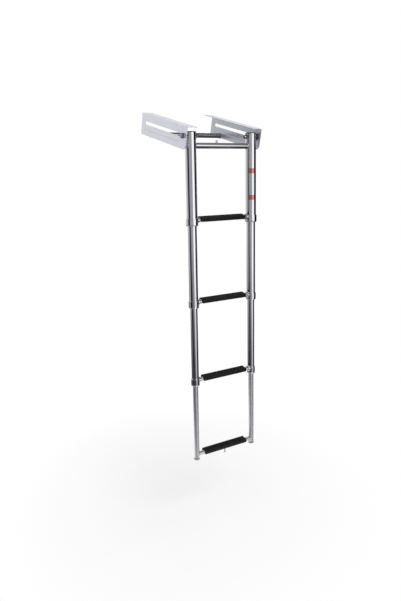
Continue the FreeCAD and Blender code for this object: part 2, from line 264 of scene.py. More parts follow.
EVERY_WAY = (800.0, 800.0, 800.0)
TUBE_STEEL = steel("Polished tube", ALONG_TUBE, (0.86, 0.86, 0.87), (0.80, 0.80, 0.82), 0.02)
RUNG_STEEL = steel("Polished rung", ALONG_RUNG, (0.84, 0.84, 0.85), (0.78, 0.78, 0.80), 0.03)
SATIN_STEEL = steel("Satin tube", ALONG_TUBE, (0.88, 0.88, 0.89), (0.82, 0.82, 0.84), 0.34, 0.06)
SATIN_RUNG_STEEL = steel("Satin rung", ALONG_RUNG, (0.74, 0.74, 0.76), (0.66, 0.66, 0.68), 0.16, 0.06)
BAR_STEEL = steel("Crossbar steel", ALONG_RUNG, (0.50, 0.50, 0.52), (0.42, 0.42, 0.44), 0.12, 0.06)
SHEET_STEEL = steel("Polished sheet", ALONG_TRACK, (0.89, 0.89, 0.96), (0.86, 0.86, 0.93), 0.20, 0.05, lean=0.0)
BOLT_STEEL = steel("Fastener steel", EVERY_WAY, (0.42, 0.42, 0.44), (0.32, 0.32, 0.34), 0.20, 0.06)
WELD_STEEL = steel("Weld steel", EVERY_WAY, (0.66, 0.65, 0.64), (0.50, 0.49, 0.48), 0.14, 0.08)
RUBBER = moulded("Black rubber", (0.006, 0.006, 0.0065), (0.013, 0.013, 0.014), 0.55, 0.0006, 0.00010, 0.25)
DARK_PLASTIC = moulded("Dark plastic", (0.018, 0.018, 0.02), (0.03, 0.03, 0.032), 0.35, 0.0008, 0.00004)
GREY_PLASTIC = moulded("Grey plastic", (0.26, 0.26, 0.27), (0.20, 0.20, 0.21), 0.38, 0.0008, 0.00004)
PALE_PLASTIC = moulded("Pale plastic", (0.83, 0.83, 0.80), (0.70, 0.70, 0.67), 0.40, 0.0010, 0.00005)
LABEL_CLEAR = steel("Label clear", ALONG_TUBE, (0.80, 0.82, 0.83), (0.76, 0.78, 0.79), 0.07)
LABEL_RED = steel("Label red", ALONG_TUBE, (0.72, 0.25, 0.27), (0.64, 0.21, 0.23), 0.09)
print("materials", sorted(material.name for material in bpy.data.materials))

# %% [markdown]
# The inner faces of the tracks' sheet carry painted shade: their polished colour is multiplied darker, standing in
# for the shade and dark reflections between each web and the tube beside it. The left web is seen from outside and
# the right one from inside. A face is an inner one where its normal points back at the middle of the ladder, so the
# sign of its place along X times that normal is negative. Fine handling marks scatter a share of the light, so the
# flat sheet doesn't turn black where it faces a dark gap of the studio.

# %% Painted shade on the inner faces of the tracks
# Painted shade: the inner faces' polished colour is multiplied by this tone.
INNER_PAINTED_SHADE = (0.76, 0.76, 0.76, 1.0)
MIRROR_SHARE = 0.68
sheet = SHEET_STEEL.node_tree
sheet.nodes["Principled BSDF"].inputs["Metallic"].default_value = MIRROR_SHARE
mapped = add_node(sheet, "ShaderNodeTexCoord")
where = add_node(sheet, "ShaderNodeSeparateXYZ", Vector=mapped.outputs["Object"])
facing = add_node(sheet, "ShaderNodeSeparateXYZ", Vector=mapped.outputs["Normal"])
side = add_node(sheet, "ShaderNodeMath", [("operation", "SIGN")], _0=where.outputs["X"])
outward = add_node(sheet, "ShaderNodeMath", [("operation", "MULTIPLY")],
                   _0=side.outputs["Value"], _1=facing.outputs["X"])
# This mask marks the inner faces, where the painted shade goes.
inner = add_node(sheet, "ShaderNodeMath", [("operation", "LESS_THAN")], _0=outward.outputs["Value"], _1=-0.5)
polished = sheet.nodes["Principled BSDF"].inputs["Base Color"].links[0].from_socket
# Multiplies the polished colour darker on the inner faces, as painted shade.
painted_shade = add_node(sheet, "ShaderNodeMix", [("data_type", "RGBA"), ("blend_type", "MULTIPLY")],
                  _0=inner.outputs["Value"], _6=polished, _7=INNER_PAINTED_SHADE)
sheet.links.new(painted_shade.outputs[2], sheet.nodes["Principled BSDF"].inputs["Base Color"])
print("sheet finish with", len(sheet.nodes), "nodes")

# %% [markdown]
# Turned parts
#
# Tubes, collars, caps, washers, studs and feet are all turned on a lathe, so one function makes them all: a
# closed outline of corners, each with its own fillet, is turned about an axis. Every fillet also gets a point
# just before and after its arc. Those two extra rings hold the long walls truly straight in their shading, which
# matters on a mirror finish, where any bend in the normals shows as a bent reflection.

# %% Outlines and turning
TURN_STEPS = 96
FILLET_STEPS = 4
HOLD = 0.4


def rounded(corners, closed=True):
    """Corners of (across, along, fillet) as a smooth outline with an arc at each fillet."""
    outline = []
    for index, (across, along, fillet) in enumerate(corners):
        here = Vector((across, along))
        at_end = not closed and index in (0, len(corners) - 1)
        if fillet == 0 or at_end:
            outline.append(here)
            continue
        before = (Vector(corners[index - 1][:2]) - here).normalized()
        after = (Vector(corners[(index + 1) % len(corners)][:2]) - here).normalized()
        half = before.angle(after) / 2
        centre = here + (before + after).normalized() * fillet / math.sin(half)
        start = here + before * fillet / math.tan(half)
        end = here + after * fillet / math.tan(half)
        outline.append(start + before * fillet * HOLD)
        for step in range(FILLET_STEPS + 1):
            outline.append(centre + (start - centre).slerp(end - centre, step / FILLET_STEPS) * fillet)
        outline.append(end + after * fillet * HOLD)
    return outline


def turned_part(corners, closed=True, steps=TURN_STEPS):
    """A bmesh of an outline of (radius, height, fillet) corners turned about the Z axis."""
    outline = rounded(corners, closed)
    shape = bmesh.new()
    rings = []
    for step in range(steps):
        angle = 2 * math.pi * step / steps
        rings.append([shape.verts.new((p.x * math.cos(angle), p.x * math.sin(angle), p.y)) for p in outline])
    last = len(outline) if closed else len(outline) - 1
    for step, ring in enumerate(rings):
        following = rings[(step + 1) % steps]
        for index in range(last):
            other = (index + 1) % len(outline)
            shape.faces.new((ring[index], following[index], following[other], ring[other]))
    bmesh.ops.remove_doubles(shape, verts=shape.verts, dist=1e-7)
    bmesh.ops.recalc_face_normals(shape, faces=shape.faces)
    return shape


def pipe(radius, wall, low, high, fillet=0.0004):
    """A tube about the Z axis with rounded rims."""
    return turned_part([(radius, low, fillet), (radius, high, fillet),
                        (radius - wall, high, fillet), (radius - wall, low, fillet)])


print("a turned part has", TURN_STEPS, "steps")

# %% Making a shape into a piece
SHARP = math.radians(35)
made_pieces = []


def to_mesh(shape, name, matrix=None):
    """Writes a bmesh to a mesh in its final place, with smooth shading that stops at real corners."""
    if matrix is not None:
        shape.transform(matrix)
    bmesh.ops.recalc_face_normals(shape, faces=shape.faces)
    mesh = bpy.data.meshes.new(name)
    shape.to_mesh(mesh)
    shape.free()
    mesh.shade_smooth()
    mesh.set_sharp_from_angle(angle=SHARP)
    return mesh


def put(mesh, name, body, slot, material, *nodes):
    """Turns a finished mesh into a piece that rides on a body and stands for some nodes."""
    if material is not None:
        mesh.materials.clear()
        mesh.materials.append(material)
    piece = bpy.data.objects.new(name, mesh)
    scene.collection.objects.link(piece)
    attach(piece, body)
    if nodes:
        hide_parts(*nodes)
    made_pieces.append(piece)
    return piece


def piece_from(shape, name, body, slot, material, *nodes, matrix=None):
    return put(to_mesh(shape, name, matrix), name, body, slot, material, *nodes)


def on_upright(way, station):
    """The place on an upright: Z up along the tube, X to the right."""
    return LADDER @ Matrix.Translation((way * UPRIGHT_X, 0, -station))


def ladder_box(node):
    """A node's lowest and highest corner in the ladder's own axes, with stations counted upwards."""
    points = [LADDER.inverted() @ vertex.co for vertex in frame["nodes"][node].data.vertices]
    low = Vector(min(p[axis] for p in points) for axis in range(3))
    high = Vector(max(p[axis] for p in points) for axis in range(3))
    return low, high


def combined(first, second, operation):
    """Unites, cuts or intersects two bmeshes."""
    blanks = []
    for shape in (first, second):
        mesh = bpy.data.meshes.new("blank")
        shape.to_mesh(mesh)
        shape.free()
        blanks.append(bpy.data.objects.new("blank", mesh))
        scene.collection.objects.link(blanks[-1])
    cut = blanks[0].modifiers.new("cut", "BOOLEAN")
    cut.operation = operation
    cut.solver = "EXACT"
    cut.object = blanks[1]
    depsgraph = bpy.context.evaluated_depsgraph_get()
    result = bpy.data.meshes.new_from_object(blanks[0].evaluated_get(depsgraph))
    for blank in blanks:
        bpy.data.objects.remove(blank)
    shape = bmesh.new()
    shape.from_mesh(result)
    bmesh.ops.remove_doubles(shape, verts=shape.verts, dist=1e-7)
    return shape


print("piece helpers ready")

# %% [markdown]
# The uprights
#
# Each upright is a plain stainless tube. They could stay as they come from the frame, but those are cut into flat
# facets that a mirror finish would show, and their rims are razor sharp. So every tube is turned afresh between
# the same two stations, with a small rounding at each rim. The thinnest pair is less polished on the real ladder.

# %% Uprights
TUBE_WALL = 0.0013


def make_upright(side, number):
    node = "%s_upright_%d" % (side, number)
    low, high = ladder_box(node)
    shape = pipe(TUBE_RADIUS[number], TUBE_WALL, low.z, high.z)
    material = SATIN_STEEL if number == 4 else TUBE_STEEL
    place = LADDER @ Matrix.Translation((SIDES[side] * UPRIGHT_X, 0, 0))
    return piece_from(shape, node + ".tube", "section_%d" % number, "polished_steel", material, node, matrix=place)


for number in SECTIONS:
    for side in SIDES:
        tube = make_upright(side, number)
    print(tube.name, "has", len(tube.data.polygons), "faces")

# %% [markdown]
# The collars
#
# A collar is a short sleeve on the lower end of a tube. The tube sits in its upper bore, the next tube slides
# through its lower bore, and a boss on its inner side takes the rung. The sleeve and the boss are turned apart,
# united, and then bored in one cut with a stepped tool, just as the real casting is. A fine groove near each end
# catches the light as a line, which the photograph shows at the top and bottom of every collar.

# %% Collars
COLLAR_ABOVE = 0.008
LEDGE = 0.005
BOSS_RADIUS = 0.011
BOSS_REACH = 0.003
PLAY = 0.0003
SEAT_PLAY = 0.00005
RIM = 0.0008


def bored(shape, upper, lower, bottom, ledge, top):
    """Cuts a stepped bore with eased rims."""
    tool = turned_part([(0, bottom - RIM, 0), (lower + 2 * RIM, bottom - RIM, 0), (lower, bottom + RIM, 0),
                        (lower, ledge, 0), (upper, ledge, 0), (upper, top + 0.02, 0), (0, top + 0.02, 0)],
                       closed=False)
    return combined(shape, tool, "DIFFERENCE")


def make_collar(side, number):
    way = SIDES[side]
    node = "%s_collar_%d" % (side, number)
    low, high = ladder_box(node)
    below = -(low.z + RUNG_STATION[number])
    outer = (high.x if way > 0 else -low.x) - UPRIGHT_X
    sleeve = turned_part([
        (0, COLLAR_ABOVE, 0), (outer - 0.0008, COLLAR_ABOVE, 0.0007),
        (outer - 0.0008, COLLAR_ABOVE - 0.0018, 0.0002), (outer, COLLAR_ABOVE - 0.0026, 0.0004),
        (outer, -below + 0.0042, 0.0004), (outer - 0.0007, -below + 0.0034, 0.0002),
        (outer - 0.0007, -below + 0.0028, 0.0002), (outer - 0.0002, -below + 0.0020, 0.0003),
        (outer - 0.0002, -below, 0.0016), (0, -below, 0)], closed=False)
    boss = turned_part([(0, 0, 0), (BOSS_RADIUS, 0, 0), (BOSS_RADIUS, outer + BOSS_REACH, 0.0010),
                        (0, outer + BOSS_REACH, 0)], closed=False, steps=72)
    boss.transform(Matrix.Rotation(-way * math.pi / 2, 4, "Y"))
    shape = combined(sleeve, boss, "UNION")
    shape = bored(shape, TUBE_RADIUS[number] + SEAT_PLAY, TUBE_RADIUS[number + 1] + PLAY,
                  -below, LEDGE - below, BOSS_RADIUS)
    return piece_from(shape, node + ".sleeve", "section_%d" % number, "polished_steel", TUBE_STEEL, node,
                      matrix=on_upright(way, RUNG_STATION[number]))


for number in SECTIONS[:3]:
    for side in SIDES:
        collar = make_collar(side, number)
    print(collar.name, "has", len(collar.data.polygons), "faces")

# %% [markdown]
# The rungs and cross tubes
#
# Three rungs run from boss to boss. The last rung and the cross tube at the top meet the round uprights
# directly, so their ends are coped: a cutter of the upright's size takes a bite out of the tube, which leaves the
# curved seam that a fitter would weld. The crossbar between the tracks is a solid bar with square ends.

# %% Rungs, cross tube and rear crossbar
RUNG_WALL = 0.0015
RUNG_RADIUS = (ladder_box("rung_1")[1].z - ladder_box("rung_1")[0].z) / 2
CROSS_RADIUS = (ladder_box("top_cross_tube")[1].z - ladder_box("top_cross_tube")[0].z) / 2
CROSS_STATION = station_of("top_cross_tube")


def cross_piece(node, station, radius, body, material, coped_by=None):
    """A tube along X at a station, coped to the uprights of one section if it is named."""
    half = ladder_box(node)[1].x
    if coped_by:
        half = UPRIGHT_X
    shape = pipe(radius, RUNG_WALL, -half, half)
    shape.transform(ALONG_X)
    if coped_by:
        for way in SIDES.values():
            reach = 3 * radius
            cutter = turned_part([(0, -reach, 0), (TUBE_RADIUS[coped_by] + SEAT_PLAY, -reach, 0),
                                  (TUBE_RADIUS[coped_by] + SEAT_PLAY, reach, 0), (0, reach, 0)], closed=False)
            cutter.transform(Matrix.Translation((way * UPRIGHT_X, 0, 0)))
            shape = combined(shape, cutter, "DIFFERENCE")
    return piece_from(shape, node + ".tube", body, "polished_steel", material, node,
                      matrix=LADDER @ Matrix.Translation((0, 0, -station)))


for number in SECTIONS[:3]:
    cross_piece("rung_%d" % number, RUNG_STATION[number], RUNG_RADIUS, "section_%d" % number, RUNG_STEEL)
cross_piece("rung_4", RUNG_STATION[4], RUNG_RADIUS, "section_4", SATIN_RUNG_STEEL, coped_by=4)
cross_piece("top_cross_tube", CROSS_STATION, CROSS_RADIUS, "section_1", RUNG_STEEL, coped_by=1)

low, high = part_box("rear_crossbar")
bar_radius = (high.z - low.z) / 2
bar = turned_part([(0, low.x, 0), (bar_radius, low.x, 0.0006), (bar_radius, high.x, 0.0006), (0, high.x, 0)],
                  closed=False)
bar.transform(ALONG_X)
middle = box_middle("rear_crossbar")
rear_bar = piece_from(bar, "rear_crossbar.bar", "tracks", "polished_steel", BAR_STEEL, "rear_crossbar",
                      matrix=Matrix.Translation((0, middle.y, middle.z)))
print("rung radius", round(RUNG_RADIUS, 4), "cross tube radius", round(CROSS_RADIUS, 4))

# %% [markdown]
# The treads
#
# A tread is a rubber pad with a flat top, hollowed below to clip over the round rung, and ribbed lengthwise for
# grip. The pad is one outline pushed along the rung. The ribs repeat by a rule, so Geometry Nodes make them: a line
# of points across the pad carries one rounded rib on each point. Changing the count or the width is then a
# change of one number, and the same tree serves all four treads.

# %% Geometry Nodes for the ribs
GEOMETRY_TREE = "GeometryNodeTree"
ribs, given, made = new_group(
    "tread_ribs", GEOMETRY_TREE,
    [("Pad", "Geometry"), ("Rib Count", "Int"), ("First Rib", "Vector"), ("Last Rib", "Vector"),
     ("Rib Length", "Float"), ("Rib Width", "Float"), ("Rib Height", "Float"), ("Rubber", "Material")],
    [("Tread", "Geometry")])
across = add_node(ribs, "GeometryNodeMeshLine", [("mode", "END_POINTS"), ("count_mode", "TOTAL")],
                  Count=given.outputs["Rib Count"], Start_Location=given.outputs["First Rib"],
                  Offset=given.outputs["Last Rib"])
bar = add_node(ribs, "GeometryNodeMeshCylinder", Vertices=14, Radius=1.0, Depth=given.outputs["Rib Length"])
half_width = add_node(ribs, "ShaderNodeMath", [("operation", "MULTIPLY")], _0=given.outputs["Rib Width"], _1=0.5)
section = add_node(ribs, "ShaderNodeCombineXYZ", X=given.outputs["Rib Height"], Y=half_width.outputs["Value"], Z=1.0)
rib = add_node(ribs, "GeometryNodeTransform", Geometry=bar.outputs["Mesh"], Scale=section.outputs["Vector"],
               Rotation=(0.0, math.pi / 2, 0.0))
row = add_node(ribs, "GeometryNodeInstanceOnPoints", Points=across.outputs["Mesh"], Instance=rib.outputs["Geometry"])
tread = add_node(ribs, "GeometryNodeJoinGeometry")
ribs.links.new(row.outputs["Instances"], tread.inputs["Geometry"])
ribs.links.new(given.outputs["Pad"], tread.inputs["Geometry"])
real = add_node(ribs, "GeometryNodeRealizeInstances", Geometry=tread.outputs["Geometry"])
coated = add_node(ribs, "GeometryNodeSetMaterial", Geometry=real.outputs["Geometry"],
                  Material=given.outputs["Rubber"])
ribs.links.new(coated.outputs["Geometry"], made.inputs["Tread"])


def run_nodes(tree, mesh, **values):
    """Runs a mesh through a Geometry Nodes tree and returns the result as a plain mesh."""
    carrier = bpy.data.objects.new("carrier", mesh)
    scene.collection.objects.link(carrier)
    modifier = carrier.modifiers.new(tree.name, "NODES")
    modifier.node_group = tree
    for item in tree.interface.items_tree:
        value = values.get(item.name.replace(" ", "_"))
        if item.in_out == "INPUT" and value is not None:
            modifier[item.identifier] = value
    depsgraph = bpy.context.evaluated_depsgraph_get()
    result = bpy.data.meshes.new_from_object(carrier.evaluated_get(depsgraph))
    bpy.data.objects.remove(carrier)
    return result


print("tree", ribs.name, "with", len(ribs.nodes), "nodes")

# %% Treads
RIB_COUNT = 8
RIB_WIDTH = 0.0022
RIB_HEIGHT = 0.0009
RIB_MARGIN = 0.0020
PAD_ROUNDING = 0.0015
HOLLOW_STEPS = 20


def pushed_outline(outline, start, end):
    """A closed outline in Y and Z pushed along X into a solid."""
    shape = bmesh.new()
    ends = [[shape.verts.new((x, p.x, p.y)) for p in outline] for x in (start, end)]
    for index in range(len(outline)):
        other = (index + 1) % len(outline)
        shape.faces.new((ends[0][index], ends[0][other], ends[1][other], ends[1][index]))
    shape.faces.new(ends[0])
    shape.faces.new(ends[1][::-1])
    bmesh.ops.recalc_face_normals(shape, faces=shape.faces)
    return shape


def soften(shape, width, corner=math.radians(40), segments=2):
    """Rounds every edge that turns by more than the corner angle."""
    edges = [edge for edge in shape.edges if len(edge.link_faces) == 2 and edge.calc_face_angle() > corner]
    bmesh.ops.bevel(shape, geom=edges, offset=width, segments=segments, profile=0.5, affect="EDGES",
                    clamp_overlap=True)


def make_tread(number):
    node = "tread_%d" % number
    low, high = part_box(node)
    rung = box_middle("rung_%d" % number)
    top = high.z - RIB_HEIGHT - rung.z
    bottom = low.z - rung.z
    front, back = low.y - rung.y, high.y - rung.y
    hollow = RUNG_RADIUS + SEAT_PLAY
    edge = math.asin(bottom / hollow)
    corners = [(front, bottom, 0.0005), (front, top, PAD_ROUNDING), (back, top, PAD_ROUNDING), (back, bottom, 0.0005)]
    for step in range(HOLLOW_STEPS + 1):
        angle = edge + (math.pi - 2 * edge) * step / HOLLOW_STEPS
        corners.append((hollow * math.cos(angle), hollow * math.sin(angle), 0))
    shape = pushed_outline(rounded(corners), low.x, high.x)
    soften(shape, 0.0006)
    pad = to_mesh(shape, node, Matrix.Translation(rung))
    first = Vector((0, low.y + PAD_ROUNDING + RIB_MARGIN, high.z - RIB_HEIGHT))
    last = Vector((0, high.y - PAD_ROUNDING - RIB_MARGIN, high.z - RIB_HEIGHT))
    mesh = run_nodes(ribs, pad, Rib_Count=RIB_COUNT, First_Rib=first, Last_Rib=last,
                     Rib_Length=high.x - low.x - 2 * RIB_MARGIN, Rib_Width=RIB_WIDTH, Rib_Height=RIB_HEIGHT,
                     Rubber=RUBBER)
    return put(mesh, node + ".pad", "section_%d" % number, "black_rubber", None, node)


for number in SECTIONS:
    tread = make_tread(number)
    print(tread.name, "has", len(tread.data.polygons), "faces")

# %% [markdown]
# The tracks
#
# Each track is 2 mm sheet folded into an angle, with a long closed slot in its web. The frame's own shape is right,
# so a copy of it is merged, its flat triangles are dissolved into whole faces, and every cut edge is eased by a
# fraction of a millimetre, as a deburred edge is. A shallow rib is pressed into the web below the slot: a groove
# on the outside and a low ridge on the inside, which the photograph shows as a fine line along both webs.

# %% Tracks
DEBURR = 0.0003
SHEET = 0.002
RIB_DEPTH = 0.0006
RIB_HALF_WIDTH = 0.0030
RIB_BELOW_TOP = 0.058
RIB_FROM_ENDS = 0.045


def keep_flats_flat(mesh):
    """Lets the large faces decide the normals, so that flat sheet reflects as flat sheet."""
    carrier = bpy.data.objects.new("carrier", mesh)
    scene.collection.objects.link(carrier)
    weigh = carrier.modifiers.new("weigh", "WEIGHTED_NORMAL")
    weigh.mode = "FACE_AREA"
    weigh.weight = 100
    weigh.keep_sharp = True
    depsgraph = bpy.context.evaluated_depsgraph_get()
    result = bpy.data.meshes.new_from_object(carrier.evaluated_get(depsgraph))
    bpy.data.objects.remove(carrier)
    return result


def merged_copy(node):
    """A welded copy of a node's shape, with its flat parts as whole faces."""
    shape = bmesh.new()
    shape.from_mesh(frame["nodes"][node].data)
    bmesh.ops.remove_doubles(shape, verts=shape.verts, dist=1e-6)
    bmesh.ops.dissolve_limit(shape, angle_limit=math.radians(0.5), verts=shape.verts, edges=shape.edges)
    return shape


def pressed_rib(face_x, outward, way, front, back):
    """A flattened rod that lies in the web's face, by half its height in or out."""
    length = back - front
    radius = RIB_HALF_WIDTH * 1.15
    rod = turned_part([(0, -length / 2, 0), (radius, -length / 2, radius * 0.95),
                       (radius, length / 2, radius * 0.95), (0, length / 2, 0)], closed=False, steps=32)
    flatten = Matrix.Diagonal((2 * RIB_DEPTH / radius, 1, 1, 1))
    lie = Matrix.Rotation(-math.pi / 2, 4, "X")
    shift = face_x + outward * way * RIB_DEPTH
    rod.transform(Matrix.Translation((shift, (front + back) / 2, -RIB_BELOW_TOP)) @ flatten @ lie)
    return rod


def make_track(side):
    way = SIDES[side]
    node = side + "_track"
    low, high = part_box(node)
    outer = high.x if way > 0 else low.x
    inner = outer - way * SHEET
    front, back = low.y + RIB_FROM_ENDS, high.y - RIB_FROM_ENDS / 2
    shape = merged_copy(node)
    soften(shape, DEBURR)
    shape = combined(shape, pressed_rib(inner, 1, way, front, back), "UNION")
    shape = combined(shape, pressed_rib(outer, 1, way, front, back), "DIFFERENCE")
    mesh = keep_flats_flat(to_mesh(shape, node))
    return put(mesh, node + ".sheet", "tracks", "polished_sheet", SHEET_STEEL, node)


for side in SIDES:
    track = make_track(side)
    print(track.name, "has", len(track.data.polygons), "faces")

# %% [markdown]
# Bolts, nuts, washers and bushes
#
# The ladder turns and slides on two bolts. Each has a hexagon head outside the web with a washer under it, a
# flanged nylon bush in the slot, and a domed nut inside the upright. A real hexagon is a prism whose corners are
# turned off by a cone, so it is made the same way: a prism and a turned blank are intersected. That leaves the
# curved lines on the flats that make a bolt head read as one.

# %% Fasteners at the pivots
HEAD_FLATS = 0.015
NUT_FLATS = 0.013
BOLT_RADIUS = 0.004
CHAMFER_SLOPE = math.tan(math.radians(30))


def hexagon(flats, low, high):
    """A hexagonal prism along Z."""
    shape = bmesh.new()
    radius = flats / 2 / math.cos(math.radians(30))
    rings = [[shape.verts.new((radius * math.cos(math.radians(60 * k)), radius * math.sin(math.radians(60 * k)), z))
              for k in range(6)] for z in (low, high)]
    for k in range(6):
        shape.faces.new((rings[0][k], rings[0][(k + 1) % 6], rings[1][(k + 1) % 6], rings[1][k]))
    shape.faces.new(rings[0][::-1])
    shape.faces.new(rings[1])
    return shape


def hexagon_head(flats, height, both_ends):
    """A hexagon with its corners turned off at one end or both."""
    across_corners = flats / 2 / math.cos(math.radians(30)) + 0.0002
    face = flats / 2 * 0.94
    drop = (across_corners - face) * CHAMFER_SLOPE
    lower = [(0, 0, 0), (face, 0, 0), (across_corners, drop, 0)] if both_ends else [(0, 0, 0), (across_corners, 0, 0)]
    blank = turned_part(lower + [(across_corners, height - drop, 0), (face, height, 0), (0, height, 0)], closed=False)
    return combined(hexagon(flats, -0.001, height + 0.001), blank, "INTERSECT")


def outward(way, x, middle):
    """The place of a part on a bolt's axis: Z points out of the ladder on its own side."""
    return Matrix.Translation((x, middle.y, middle.z)) @ Matrix.Rotation(way * math.pi / 2, 4, "Y")


def make_pivot(side):
    way = SIDES[side]
    low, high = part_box(side + "_pivot_bolt")
    tip, back = (high.x, low.x) if way > 0 else (low.x, high.x)
    washer_low, washer_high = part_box(side + "_pivot_washer")
    seat = washer_high.x if way > 0 else washer_low.x
    head = hexagon_head(HEAD_FLATS, abs(tip - seat), False)
    shank_length = abs(seat - back)
    shank = turned_part([(0, -shank_length, 0), (BOLT_RADIUS, -shank_length, 0.0006), (BOLT_RADIUS, 0.001, 0),
                         (0, 0.001, 0)], closed=False, steps=48)
    bolt = combined(head, shank, "UNION")
    soften(bolt, 0.00025, math.radians(25))
    mesh = keep_flats_flat(to_mesh(bolt, "bolt", outward(way, seat, PIVOT)))
    put(mesh, side + "_pivot_bolt.hexagon", "carriage", "polished_steel", BOLT_STEEL, side + "_pivot_bolt")
    radius = (washer_high.z - washer_low.z) / 2
    thick = washer_high.x - washer_low.x
    bore = BOLT_RADIUS + SEAT_PLAY
    ring = turned_part([(bore, -thick, 0.0002), (radius, -thick, 0.0004), (radius, 0, 0.0004), (bore, 0, 0.0002)])
    piece_from(ring, side + "_pivot_washer.ring", "carriage", "polished_steel", RUNG_STEEL,
               side + "_pivot_washer", matrix=outward(way, seat, PIVOT))
    return bolt


def make_pivot_nut(side):
    way = SIDES[side]
    low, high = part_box(side + "_pivot_nut")
    length = high.x - low.x
    seat = high.x if way > 0 else low.x
    dome_radius = 0.0058
    height = length - dome_radius
    dome = turned_part([(0, height - 0.001, 0), (dome_radius, height - 0.001, 0),
                        (dome_radius, length, dome_radius * 0.97), (0, length, 0)], closed=False, steps=64)
    nut = combined(hexagon_head(NUT_FLATS, height, True), dome, "UNION")
    mesh = keep_flats_flat(to_mesh(nut, "nut", outward(-way, seat, PIVOT)))
    put(mesh, side + "_pivot_nut.dome", "carriage", "polished_steel", BOLT_STEEL, side + "_pivot_nut")


def make_pivot_bush(side):
    way = SIDES[side]
    low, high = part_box(side + "_pivot_bush")
    radius = (high.z - low.z) / 2
    length = high.x - low.x
    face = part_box(side + "_track")[1].x - SHEET if way > 0 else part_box(side + "_track")[0].x + SHEET
    neck = 0.0052
    bore = BOLT_RADIUS + SEAT_PLAY
    inside = -(length - SHEET)
    bush = turned_part([(bore, SHEET, 0.0003), (neck, SHEET, 0.0004), (neck, -PLAY, 0), (radius, -PLAY, 0.0008),
                        (radius, inside, 0.0008), (bore, inside, 0.0003)])
    piece_from(bush, side + "_pivot_bush.nylon", "carriage", "black_plastic", DARK_PLASTIC, side + "_pivot_bush",
               matrix=outward(way, face, PIVOT))


for side in SIDES:
    make_pivot(side)
    make_pivot_nut(side)
    make_pivot_bush(side)
print("pivots done, pieces so far", len(made_pieces))

# %% [markdown]
# Ends, feet and strap studs
#
# The outer tubes are closed by dark moulded caps with a shallow dish in the top, and the inner tubes stand in
# plain feet. A small ball-ended stud on the cross tube and another under the last rung hold the strap that keeps
# the folded ladder shut. All of them are turned.

# %% Caps, feet and studs
BALL_RADIUS = 0.0042
STUD_RADIUS = 0.0026


def make_cap(side):
    way = SIDES[side]
    node = side + "_top_cap"
    low, high = ladder_box(node)
    radius = (high.x - low.x) / 2
    plug = TUBE_RADIUS[1] - TUBE_WALL - SEAT_PLAY
    thick = 0.003
    cap = turned_part([(0, low.z, 0), (plug, low.z, 0.0005), (plug, high.z - thick, 0),
                       (radius, high.z - thick, 0.0003), (radius, high.z, 0.0013), (radius - 0.004, high.z, 0.0006),
                       (radius - 0.0055, high.z - 0.0007, 0.0006), (0, high.z - 0.0007, 0)], closed=False)
    piece_from(cap, node + ".moulding", "section_1", "black_plastic", DARK_PLASTIC, node,
               matrix=LADDER @ Matrix.Translation((way * UPRIGHT_X, 0, 0)))


def make_foot(side):
    way = SIDES[side]
    node = side + "_foot"
    low, high = ladder_box(node)
    radius = (high.x - low.x) / 2
    plug = TUBE_RADIUS[4] - TUBE_WALL - SEAT_PLAY
    thick = 0.006
    foot = turned_part([(0, low.z + 0.0006, 0), (radius - 0.0045, low.z + 0.0006, 0.0005),
                        (radius - 0.0040, low.z, 0.0004), (radius, low.z, 0.0015), (radius, low.z + thick, 0.0006),
                        (plug, low.z + thick, 0), (plug, high.z, 0.0005), (0, high.z, 0)], closed=False)
    piece_from(foot, node + ".moulding", "section_4", "grey_plastic", GREY_PLASTIC, node,
               matrix=LADDER @ Matrix.Translation((way * UPRIGHT_X, 0, 0)))


def make_stud(node, body, station, seat_radius, up):
    low, high = ladder_box(node)
    x = (low.x + high.x) / 2
    reach = (high.z + station if up > 0 else -(low.z + station)) - BALL_RADIUS
    neck = reach - math.sqrt(BALL_RADIUS ** 2 - STUD_RADIUS ** 2)
    corners = [(0, seat_radius - 0.002, 0), (STUD_RADIUS, seat_radius - 0.002, 0), (STUD_RADIUS, neck, 0.0006)]
    start = -math.acos(STUD_RADIUS / BALL_RADIUS)
    for step in range(1, 17):
        angle = start + (math.pi / 2 - start) * step / 16
        corners.append((BALL_RADIUS * math.cos(angle), reach + BALL_RADIUS * math.sin(angle), 0))
    stud = turned_part(corners, closed=False, steps=48)
    tube = turned_part([(0, -0.02, 0), (seat_radius + SEAT_PLAY, -0.02, 0), (seat_radius + SEAT_PLAY, 0.02, 0),
                        (0, 0.02, 0)], closed=False)
    tube.transform(ALONG_X)
    stud = combined(stud, tube, "DIFFERENCE")
    turn = Matrix() if up > 0 else Matrix.Rotation(math.pi, 4, "X")
    piece_from(stud, node + ".ball", body, "polished_steel", RUNG_STEEL, node,
               matrix=LADDER @ Matrix.Translation((x, 0, -station)) @ turn)


for side in SIDES:
    make_cap(side)
    make_foot(side)
make_stud("top_stud", "section_1", CROSS_STATION, CROSS_RADIUS, 1)
make_stud("bottom_stud", "section_4", RUNG_STATION[4], RUNG_RADIUS, -1)
print("ends and studs done, pieces so far", len(made_pieces))

# %% [markdown]
# The welds
#
# The cross tube, the rungs, the studs and the rear crossbar are welded on. A weld bead follows the seam where two
# parts meet, and it ripples where each drop of metal froze. That is a path with a repeating width, so Geometry
# Nodes make it: the seam becomes a curve, the curve carries a round profile, and a sine along it swells and
# pinches the profile. The seam itself comes from geometry: a round post of one radius met by a rod of another.

